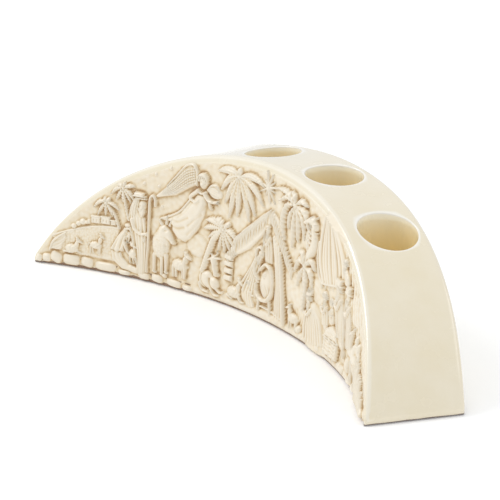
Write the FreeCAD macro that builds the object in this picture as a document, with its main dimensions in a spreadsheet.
import FreeCAD, Part
import math
import os

# A free-standing ceramic arch for four taper candles.
# Frame: millimetres, +Z up, +X along the long way, the scene faces -Y.
# The origin is on the table, under the middle of the arch's concave front face.
# In plan the arch is a crescent: its front face is part of a slightly leaning cone and its back is part of
# an upright cylinder, both about one vertical axis in front of the object.

doc = FreeCAD.newDocument("candle_arch")

# ---------------------------------------------------------------- driving dimensions
SIZES = {
    "front_radius": 216.6,      # the concave face's radius at the foot
    "crescent_depth": 36.8,     # from the concave face to the back, at the foot
    "front_lean": 0.077,        # how far the face leans back for each millimetre of height
    "front_corner": 36.3,       # how far the two front corners stand forward of the middle
    "half_chord": 120.0,        # half the width between the front corners
    "end_fan": 0.283,           # how much wider the ends get for each millimetre towards the back
    "arch_half_width": 132.6,   # the arch's elliptical outline at the front corners
    "arch_half_height": 103.3,
    "arch_drop": 40.7,          # how far the ellipse's centre lies below the table
    "block_front": 42.0,        # the arch block's front and back planes, clear of the crescent
    "block_back": 42.0,
    "tool_height": 80.0,        # taller than the arch
    "band_thickness": 5.0,
    "end_thickness": 5.0,
    "wall_thickness": 4.0,
    "base_thickness": 4.0,
    "candle_radius": 11.5,      # takes a standard 22 mm taper
    "candle_depth": 25.0,       # from the rim's upper side to the cup's floor, along the axis
    "cup_wall": 2.0,
    "cup_floor": 3.0,
    "inner_hole_across": 21.2,
    "inner_hole_back": 20.6,
    "outer_hole_across": 67.1,
    "outer_hole_back": 12.4,
    "inner_rim_height": 62.3,   # the highest point of each hole's rim
    "outer_rim_height": 54.9,
    "vent_radius": 4.0,
    "vent_back": 21.0,
}

sheet = doc.addObject("Spreadsheet::Sheet", "sizes")
for row, (alias, value) in enumerate(SIZES.items(), start=1):
    sheet.set("A%d" % row, alias)
    sheet.set("B%d" % row, str(value))
    sheet.setAlias("B%d" % row, alias)
doc.recompute()


def size(alias):
    return float(sheet.get(alias))


def bind(target, **expressions):
    """Bind properties to sheet expressions; a double underscore stands for a dot."""
    for name, expression in expressions.items():
        target.setExpression(name.replace("__", "."), expression)
    return target


def add(kind, name, **expressions):
    return bind(doc.addObject(kind, name), **expressions)


def boolean(kind, name, base, tool):
    made = doc.addObject(kind, name)
    made.Base = base
    made.Tool = tool
    return made


def cut(name, base, tool):
    return boolean("Part::Cut", name, base, tool)


def common(name, base, tool):
    return boolean("Part::Common", name, base, tool)


def fuse(name, shapes):
    made = doc.addObject("Part::MultiFuse", name)
    made.Shapes = shapes
    return made


pieces = []


def piece(made, label):
    made.Label = label
    pieces.append(made)
    return made


# ---------------------------------------------------------------- tools that give the arch its shape
UPRIGHT = FreeCAD.Rotation(FreeCAD.Vector(1, 0, 0), 90)
FRONT_SCALE = "(1 - sizes.end_fan * (sizes.block_front - sizes.front_corner) / sizes.half_chord)"
BACK_SCALE = "(1 + sizes.end_fan * (sizes.block_back + sizes.front_corner) / sizes.half_chord)"


def arch_block(name, inset, end_inset, foot):
    """The solid under the arch: an elliptical loft that widens to the back, with upright ends."""
    sections = []
    for side, scale, place in (
        ("front", FRONT_SCALE, "-sizes.block_front"),
        ("back", BACK_SCALE, "sizes.block_back"),
    ):
        section = add(
            "Part::Ellipse",
            "%s_%s_section" % (name, side),
            MajorRadius="(sizes.arch_half_width - %s) * %s" % (inset, scale),
            MinorRadius="sizes.arch_half_height - %s" % inset,
        )
        section.Placement = FreeCAD.Placement(FreeCAD.Vector(0, 0, 0), UPRIGHT)
        bind(section, Placement__Base__y=place, Placement__Base__z="-sizes.arch_drop")
        sections.append(section)
    loft = doc.addObject("Part::Loft", name + "_loft")
    loft.Sections = sections
    loft.Solid = True
    loft.Ruled = True
    trim = add(
        "Part::Wedge",
        name + "_trim",
        Ymin="-sizes.block_front",
        Ymax="sizes.block_back",
        Zmin=foot,
        Z2min=foot,
        Zmax="sizes.tool_height",
        Z2max="sizes.tool_height",
        Xmin="-(sizes.half_chord * %s - %s)" % (FRONT_SCALE, end_inset),
        Xmax="sizes.half_chord * %s - %s" % (FRONT_SCALE, end_inset),
        X2min="-(sizes.half_chord * %s - %s)" % (BACK_SCALE, end_inset),
        X2max="sizes.half_chord * %s - %s" % (BACK_SCALE, end_inset),
    )
    return common(name, loft, trim)


def face_cone(name, offset):
    """The concave face's cone, moved back by an offset."""
    return add(
        "Part::Cone",
        name,
        Radius1="sizes.front_radius + %s" % offset,
        Radius2="sizes.front_radius + %s + sizes.front_lean * sizes.tool_height" % offset,
        Height="sizes.tool_height",
        Placement__Base__y="-sizes.front_radius",
    )


def back_cylinder(name, inset):
    return add(
        "Part::Cylinder",
        name,
        Radius="sizes.front_radius + sizes.crescent_depth - %s" % inset,
        Height="sizes.tool_height",
        Placement__Base__y="-sizes.front_radius",
    )


crescent = cut("crescent", back_cylinder("back_face", "0"), face_cone("front_face", "0"))
outer_block = arch_block("outer_block", "0", "0", "0")
inner_block = arch_block("inner_block", "sizes.band_thickness", "sizes.end_thickness", "0")
wall_block = arch_block("wall_block", "sizes.band_thickness", "sizes.end_thickness", "sizes.base_thickness")
base_block = cut("base_block", inner_block, wall_block)

# ---------------------------------------------------------------- candle cups and their bores
HOLES = (
    ("candle_cup_1", "-sizes.outer_hole_across", "sizes.outer_hole_back", "sizes.outer_rim_height"),
    ("candle_cup_2", "-sizes.inner_hole_across", "sizes.inner_hole_back", "sizes.inner_rim_height"),
    ("candle_cup_3", "sizes.inner_hole_across", "sizes.inner_hole_back", "sizes.inner_rim_height"),
    ("candle_cup_4", "sizes.outer_hole_across", "sizes.outer_hole_back", "sizes.outer_rim_height"),
)
bores = []
cup_bodies = []
for label, across, back, rim in HOLES:
    bore = add(
        "Part::Cylinder",
        label + "_bore",
        Radius="sizes.candle_radius",
        Height="sizes.tool_height",
        Placement__Base__x=across,
        Placement__Base__y=back,
        Placement__Base__z="%s - sizes.candle_depth" % rim,
    )
    cup_body = add(
        "Part::Cylinder",
        label + "_body",
        Radius="sizes.candle_radius + sizes.cup_wall",
        Height="sizes.tool_height",
        Placement__Base__x=across,
        Placement__Base__y=back,
        Placement__Base__z="%s - sizes.candle_depth - sizes.cup_floor" % rim,
    )
    bores.append(bore)
    cup_bodies.append(cup_body)
    cup = cut(label, common(label + "_blank", cup_body, inner_block), bore)
    piece(cup, label)

# ---------------------------------------------------------------- the four shells of the hollow body
band_strip = cut("band_strip", common("band_blank", outer_block, crescent), inner_block)
piece(cut("top_band", band_strip, fuse("all_bores", bores)), "top_band")

panel_skin = common("panel_skin", crescent, face_cone("panel_back", "sizes.wall_thickness"))
panel_blank = common("panel_blank", wall_block, panel_skin)
piece(cut("relief_panel", panel_blank, fuse("cups_in_panel", cup_bodies)), "relief_panel")

back_skin = cut("back_skin", crescent, back_cylinder("back_inside", "sizes.wall_thickness"))
back_blank = common("back_blank", wall_block, back_skin)
piece(cut("back_wall", back_blank, fuse("cups_in_back", cup_bodies)), "back_wall")

vent = add(
    "Part::Cylinder",
    "vent_hole",
    Radius="sizes.vent_radius",
    Height="sizes.base_thickness",
    Placement__Base__y="sizes.vent_back",
)
piece(cut("base_slab", common("base_blank", base_block, crescent), vent), "base_slab")
doc.recompute()

# ---------------------------------------------------------------- the sprigs of the scene
# Each sprig is a pressed piece luted to the concave face. Its outline is given along the face (from the
# middle, left is minus) and up from the table, and its rise is how far it stands proud of the face.
FRONT_RADIUS = size("front_radius")
LEAN = size("front_lean")
TOOL_HEIGHT = size("tool_height")
TOOL_DEPTH = 20.0
SMALLEST_SCRAP = 1.0  # a scrap left by a cut and smaller than this, in mm3, is thrown away
AXIS = FreeCAD.Vector(0, -FRONT_RADIUS, 0)
UP = FreeCAD.Vector(0, 0, 1)


def cone(offset):
    lowest = FRONT_RADIUS + offset
    return Part.makeCone(lowest, lowest + LEAN * TOOL_HEIGHT, TOOL_HEIGHT, AXIS, UP)


FACE = cone(0)


def soft(*points):
    """A smooth closed outline through its points."""
    return True, list(points)


def sharp(*points):
    """A straight-sided closed outline."""
    return False, list(points)


def oval(along, up, half_along, half_up, tilt=0.0):
    """An elliptical outline, tilted in degrees."""
    lean = math.radians(tilt)
    points = []
    for step in range(8):
        turn = math.radians(45.0 * step)
        across = half_along * math.cos(turn)
        rise = half_up * math.sin(turn)
        points.append((
            along + across * math.cos(lean) - rise * math.sin(lean),
            up + across * math.sin(lean) + rise * math.cos(lean),
        ))
    return soft(*points)


def strip(width, *line):
    """A straight-sided strip of one width along a centre line."""
    left, right = [], []
    for index, (along, up) in enumerate(line):
        before = line[max(index - 1, 0)]
        after = line[min(index + 1, len(line) - 1)]
        run = math.hypot(after[0] - before[0], after[1] - before[1])
        nx = -(after[1] - before[1]) / run * width / 2
        ny = (after[0] - before[0]) / run * width / 2
        left.append((along + nx, up + ny))
        right.append((along - nx, up - ny))
    return sharp(*left, *right[::-1])


def sprig_solid(smooth, outline, rise):
    """One sprig: its outline pushed out of the face as a solid that fits the face's curve."""
    middle = sum(point[0] for point in outline) / len(outline)
    turn = middle / FRONT_RADIUS
    tangent = FreeCAD.Vector(math.cos(turn), -math.sin(turn), 0)
    outward = FreeCAD.Vector(-math.sin(turn), -math.cos(turn), 0)
    start = AXIS - outward * (FRONT_RADIUS + TOOL_DEPTH)
    corners = [start + tangent * (along - middle) + UP * up for along, up in outline]
    if smooth:
        curve = Part.BSplineCurve()
        curve.interpolate(corners, PeriodicFlag=True)
        wire = Part.Wire([curve.toShape()])
    else:
        wire = Part.makePolygon(corners + corners[:1])
    prism = Part.Face(wire).extrude(outward * (2 * TOOL_DEPTH))
    return prism.common(FACE).cut(cone(-rise))


laid = []


def sprig(label, rise, *outlines):
    """Lay a sprig on the face. It gives way to the sprigs laid before it, so that they meet edge to edge."""
    solids = []
    for smooth, outline in outlines:
        shape = sprig_solid(smooth, outline, rise)
        for earlier in laid:
            if shape.BoundBox.intersect(earlier.BoundBox):
                shape = shape.cut(earlier)
        solids += [solid for solid in shape.Solids if solid.Volume > SMALLEST_SCRAP]
    made = doc.addObject("Part::Feature", label)
    made.Shape = solids[0] if len(solids) == 1 else Part.makeCompound(solids)
    made.Placement = FreeCAD.Placement()
    laid.append(made.Shape)
    return piece(made, label)


# the shepherds
sprig("kneeling_shepherd", 3.0, soft(
    (-80.2, 23.4), (-83, 21), (-88, 12), (-87, 6.5), (-80, 3.2), (-73.5, 3.6), (-73.2, 5), (-80, 5.6),
    (-81.6, 10), (-81.4, 14), (-77.6, 17.2), (-78, 22)))
sprig("carried_lamb", 3.2, oval(-76.9, 10.6, 3.2, 4.0))
sprig("tall_shepherd_cap", 2.8, sharp((-77, 35.9), (-71.2, 36), (-71.4, 38), (-76.8, 38)))
sprig("tall_shepherd_head", 3.0, soft(
    (-78.6, 27), (-78, 31.5), (-75.6, 35.4), (-71.2, 35), (-70.4, 31), (-72, 28.2), (-75.8, 26.2)))
sprig("tall_shepherd_robe", 2.6, soft(
    (-77.4, 25.6), (-72, 27), (-70.3, 22.4), (-70.3, 10), (-71.2, 4.2), (-72.6, 5.4), (-72.6, 14), (-76.4, 19)))
sprig("shepherd_crook", 2.0, strip(
    1.2, (-65.7, 34), (-66.2, 36.7), (-67.6, 37.2), (-68.3, 35.5), (-68.5, 20), (-69.0, 4.2)))

# the animals, rock and cobbles of the left foreground
sprig("rock_fold", 1.2, sharp(
    (-119, 6.3), (-117, 10.4), (-111.8, 13.8), (-110.9, 11.5), (-113.5, 9), (-113.6, 6.4)))
sprig("lying_sheep", 2.6, soft(
    (-112.5, 6.4), (-110, 9.6), (-107.3, 12.3), (-103.9, 12.6), (-104, 9.8), (-103.5, 6.6), (-108, 5.6)))
sprig("standing_lamb", 2.6, soft(
    (-99.2, 7), (-99.6, 11.4), (-95.4, 13.2), (-93.8, 16.6), (-91.1, 15.4), (-92, 12), (-91.5, 7.4), (-95, 9.4)))
sprig(
    "cobbles", 1.8,
    oval(-123.2, 1.9, 2.4, 1.55), oval(-117.0, 2.6, 3.3, 2.1), oval(-108.8, 2.5, 3.9, 1.9),
    oval(-100.9, 2.4, 3.1, 1.9), oval(-91.3, 2.3, 5.4, 1.8), oval(-81.4, 1.5, 3.2, 1.1),
    oval(-70.8, 1.9, 2.8, 1.4), oval(-64.0, 2.1, 3.3, 1.6), oval(-59.4, 4.2, 1.1, 0.9),
    oval(-54.2, 2.0, 4.2, 1.5), oval(-46.3, 1.6, 3.1, 1.2))

# the animals on the left
sprig("donkey", 2.8, soft(
    (-66.6, 20.5), (-63, 23.6), (-61.4, 28.5), (-57.2, 29.9), (-54.8, 26.2), (-54.6, 21.6), (-58.6, 17.6),
    (-57.2, 11), (-57.6, 5.9), (-60.8, 6), (-61.3, 10.8), (-66.9, 10.5)))
sprig("grazing_sheep", 2.8, soft(
    (-56.2, 11.4), (-52, 12.8), (-48.6, 12.6), (-46.8, 16.8), (-43.2, 16.4), (-41, 14), (-43.6, 12),
    (-43.8, 4.2), (-46.8, 4.2), (-48.4, 8.6), (-51.6, 8.8), (-53, 4.4), (-55.4, 4.4)))
sprig("resting_ox", 3.0, soft(
    (-39.4, 7.5), (-36.8, 11.2), (-33, 11.6), (-28.6, 9.4), (-25.4, 4.8), (-29, 2.8), (-34, 2.9), (-38, 4.2)))
sprig("ox_head", 2.6, oval(-30.4, 15.4, 3.6, 2.6, -20))
sprig("small_sheep", 2.8, soft(
    (-24, 6), (-21.6, 9.4), (-15.6, 9.6), (-13.4, 13.2), (-10.6, 12.4), (-11.4, 9), (-11.2, 3.6), (-18, 3.4),
    (-22.4, 4)))

# the holy family and those beside them
sprig("joseph", 2.8, soft(
    (-3, 30.4), (-5.3, 26.4), (-6.4, 20), (-8.8, 10.5), (-4.2, 9.6), (-4.2, 19), (-1.4, 23.6), (-0.4, 28.8)))
sprig("mother_and_child", 3.2, soft((1.5, 23), (-3, 18), (-3.2, 8), (0.5, 4.3), (6.2, 6), (7.4, 14), (5.4, 20.5)))
sprig("old_shepherd", 2.2, soft((0.9, 34), (4, 34), (4.3, 27), (3, 24.6), (0.5, 26)))
sprig("kneeling_boy", 2.4, soft((-10, 13.6), (-6.8, 9), (-4.5, 4.6), (-9.6, 4.2), (-10.4, 8)))

# the stable
sprig("roof_left_slope", 2.6, sharp(
    (2.4, 46.2), (-6, 40.6), (-11, 36.6), (-16.6, 32.6), (-18.6, 26.4), (-22.6, 21.8), (-17.6, 22),
    (-9, 27.4), (-1, 35), (2.4, 38.4)))
sprig("roof_right_slope", 2.6, sharp((2.9, 46.2), (8.6, 42.2), (14.4, 33.2), (12.6, 31.2), (8.6, 36), (2.9, 38.4)))
sprig("stone_post", 2.2, *[
    sharp((-24.6, low), (-19.4, low), (-19.4, low + 3.0), (-24.6, low + 3.0)) for low in (10.4, 13.7, 17.0)])
sprig("timber_post", 2.6, strip(2.0, (13.9, 30.2), (18.7, 3.2)))
sprig("stable_curtain", 1.4, soft(
    (6.6, 33), (11.8, 30.6), (15.2, 10), (15.2, 4.2), (8.8, 4.2), (8.8, 16), (4.6, 25)))

# the camels, the kings and their tent
sprig("camel_head", 2.6, soft(
    (30.6, 50.5), (33.5, 52.2), (38.6, 50.6), (39.8, 47.6), (34.4, 45.6), (30.6, 46.6)))
sprig("camel_neck", 2.4, soft((31, 44.8), (40.6, 46.4), (41.6, 36.6), (36, 34.8), (32.6, 38)))
sprig("small_palm", 2.0, soft(
    (22.6, 26.4), (26, 30.4), (31, 33.6), (36.6, 34), (40.4, 31), (38.6, 27.8), (34.4, 26), (33.6, 21.4),
    (30.6, 22.6), (29, 28)))
sprig("kings_tent", 1.6, sharp(
    (43.6, 46.5), (50.4, 52.8), (55.4, 51.6), (63.6, 38), (62.2, 35.8), (44, 29.6)))
sprig("sheep_by_the_post", 2.6, soft(
    (20, 9.4), (22.6, 12.2), (27.6, 11.2), (30.4, 6.6), (29.4, 3.4), (23.6, 3.2), (21, 6)))
sprig("kneeling_king", 3.0, soft(
    (32.6, 18.8), (40.4, 20.8), (43.6, 16.2), (51, 13.2), (50.4, 5), (36.6, 3.8), (32.6, 8.8)))
sprig("gift_bearer", 2.8, soft(
    (51.5, 27.2), (56.8, 26), (59.6, 21.4), (57.4, 15.4), (53.4, 13.8), (51.8, 20)))
sprig("gift_chest", 3.0, sharp((54.2, 3), (68.2, 3), (68.6, 12.2), (63, 16.6), (56, 12.8)))
sprig("standing_king", 2.8, soft(
    (62.4, 34.4), (67.8, 43.6), (70.8, 36), (71.4, 20), (70.6, 15.6), (66.6, 16), (62.2, 21)))
sprig("camel_driver", 2.4, soft((72.8, 33), (75, 41.8), (78.8, 37.6), (80.6, 28), (79.4, 10.6), (73.2, 7.4)))
sprig("kings_camel", 2.4, soft(
    (82.4, 24), (87.8, 25.4), (92.6, 22.6), (95, 19.4), (94.6, 3.6), (91.6, 3.6), (90.2, 11.4), (84.4, 12),
    (83.4, 3.6), (81.4, 3.6)))
sprig(
    "right_bushes", 1.6,
    oval(98.9, 12.5, 2.2, 3.4), oval(104.2, 8.5, 2.2, 4.0), oval(110, 5.2, 2.6, 3.0), oval(76, 3.4, 2.4, 1.9),
    oval(116.6, 3.2, 2.6, 1.7))

# the palms around the stable
sprig("tall_palm", 2.4, soft(
    (-34, 53), (-29, 58.5), (-22, 57.5), (-19, 56), (-11, 58), (-7, 54.5), (-4, 46), (-8.5, 44), (-13, 40.5),
    (-19.2, 39), (-21.8, 47), (-26, 43.6), (-23.4, 51), (-29, 51.4)))
sprig(
    "near_palm", 2.4,
    soft((-37.5, 33), (-33, 36), (-27.6, 37.6), (-25, 33), (-20.4, 33.4), (-17.8, 29.6), (-21.4, 24),
         (-27.4, 23), (-26.8, 28.6), (-33.4, 29.8)),
    strip(3.2, (-30.5, 28.2), (-34, 21.5), (-36.5, 12.8)))
sprig("star_palm", 2.2, soft(
    (10, 57.2), (16, 58.4), (20.5, 56), (25.5, 58), (29, 54.5), (30.2, 49), (24.8, 50.8), (22.2, 50),
    (22, 38), (20.2, 38), (19.4, 49.4), (15, 47.6), (13.4, 39.2), (11.2, 42), (11.6, 49.5), (15.6, 52.8)))

# the sky, the angel and the star
sprig("sky_pearls", 0.6, *[oval(along, up, 0.9, 0.9) for along, up in (
    (-58.5, 50.8), (-66.5, 46.8), (-72.5, 42.0), (-64.6, 42.0), (-62.5, 33.6))])
sprig("angel_long_wing", 2.0, soft(
    (-44, 54), (-48, 55.2), (-52, 52), (-58, 44.5), (-66, 38), (-58, 38), (-51, 41.5), (-46, 44.5), (-43.5, 48)))
sprig("angel_short_wing", 1.6, soft((-36, 45.5), (-33, 48), (-30.5, 47.5), (-30, 44.5), (-33, 43)))
sprig("angel_head", 3.0, oval(-39.6, 48.6, 2.5, 3.2))
sprig("angel_robe", 2.4, soft(
    (-40, 44.3), (-44, 43), (-50, 36), (-56.5, 31), (-56, 25), (-51.5, 20.8), (-45.5, 23.5), (-40.5, 30),
    (-36.5, 40), (-37, 43)))
sprig("angel_hand", 2.0, oval(-32.5, 40.8, 1.8, 1.2, 10))
sprig("guiding_star", 1.5, sharp(
    (0.5, 60.6), (2.2, 57.3), (6, 58.5), (4, 55.5), (6, 52.5), (2.6, 53.2), (1.5, 48.2), (-0.8, 53),
    (-4.5, 51.5), (-2.5, 55), (-4.5, 58.5), (-1.0, 57.5)))

# the far palms, the town and, behind all, the pasture
sprig(
    "far_palm_left", 1.4,
    soft((-98, 27.5), (-95.5, 31.5), (-91, 32), (-87, 31), (-87.5, 29), (-91, 29.5), (-94.5, 27)),
    strip(1.3, (-90, 28.9), (-86.8, 26), (-84.6, 21)))
sprig(
    "far_palm_right", 1.6,
    soft((-88.5, 35.5), (-84.5, 39.3), (-80.5, 41.5), (-78.2, 37), (-80.8, 35.8), (-81.6, 36.6), (-85.5, 36.3)),
    strip(1.2, (-82.6, 35.9), (-81.4, 30), (-80, 25.6)))
sprig("bushes", 1.4, oval(-107.3, 18.0, 1.8, 1.4), oval(-103.2, 20.3, 2.0, 1.5))
sprig(
    "town_houses", 1.4,
    sharp((-99, 20.6), (-94.4, 20.9), (-94.4, 23.8), (-99, 23.5)),
    sharp((-94, 20.9), (-89.4, 21.2), (-89.4, 24.1), (-94, 23.9)),
    sharp((-89, 21.2), (-86.4, 21.2), (-86.4, 23.2), (-89, 23.2)))
sprig("hill_pasture", 0.7, sharp(
    (-118.5, 12.2), (-110, 15.6), (-100, 18.6), (-90, 20.2), (-85.2, 20.2), (-84, 5.5), (-112.8, 5.5),
    (-114.6, 9.2)))
doc.recompute()

# ---------------------------------------------------------------- test, then write
for made in doc.Objects:
    if "Invalid" in made.State or "Error" in made.State:
        raise RuntimeError("%s is %s" % (made.Name, made.State))
labels = [made.Label for made in pieces]
if len(set(labels)) != len(labels):
    raise RuntimeError("two pieces share a label")
for made in pieces:
    if made.Shape.isNull() or not made.Shape.isValid() or not made.Shape.Solids:
        raise RuntimeError("%s has no valid solid" % made.Label)

os.makedirs("parts", exist_ok=True)
whole = FreeCAD.BoundBox()
for made in pieces:
    made.Shape.exportStep("parts/%s.step" % made.Label)
    whole.add(made.Shape.optimalBoundingBox(False, False))
    print("%-22s %d solid(s) %9.1f mm3" % (made.Label, len(made.Shape.Solids), made.Shape.Volume))
print("%d pieces, box X %.2f %.2f  Y %.2f %.2f  Z %.2f %.2f" % (
    len(pieces), whole.XMin, whole.XMax, whole.YMin, whole.YMax, whole.ZMin, whole.ZMax))
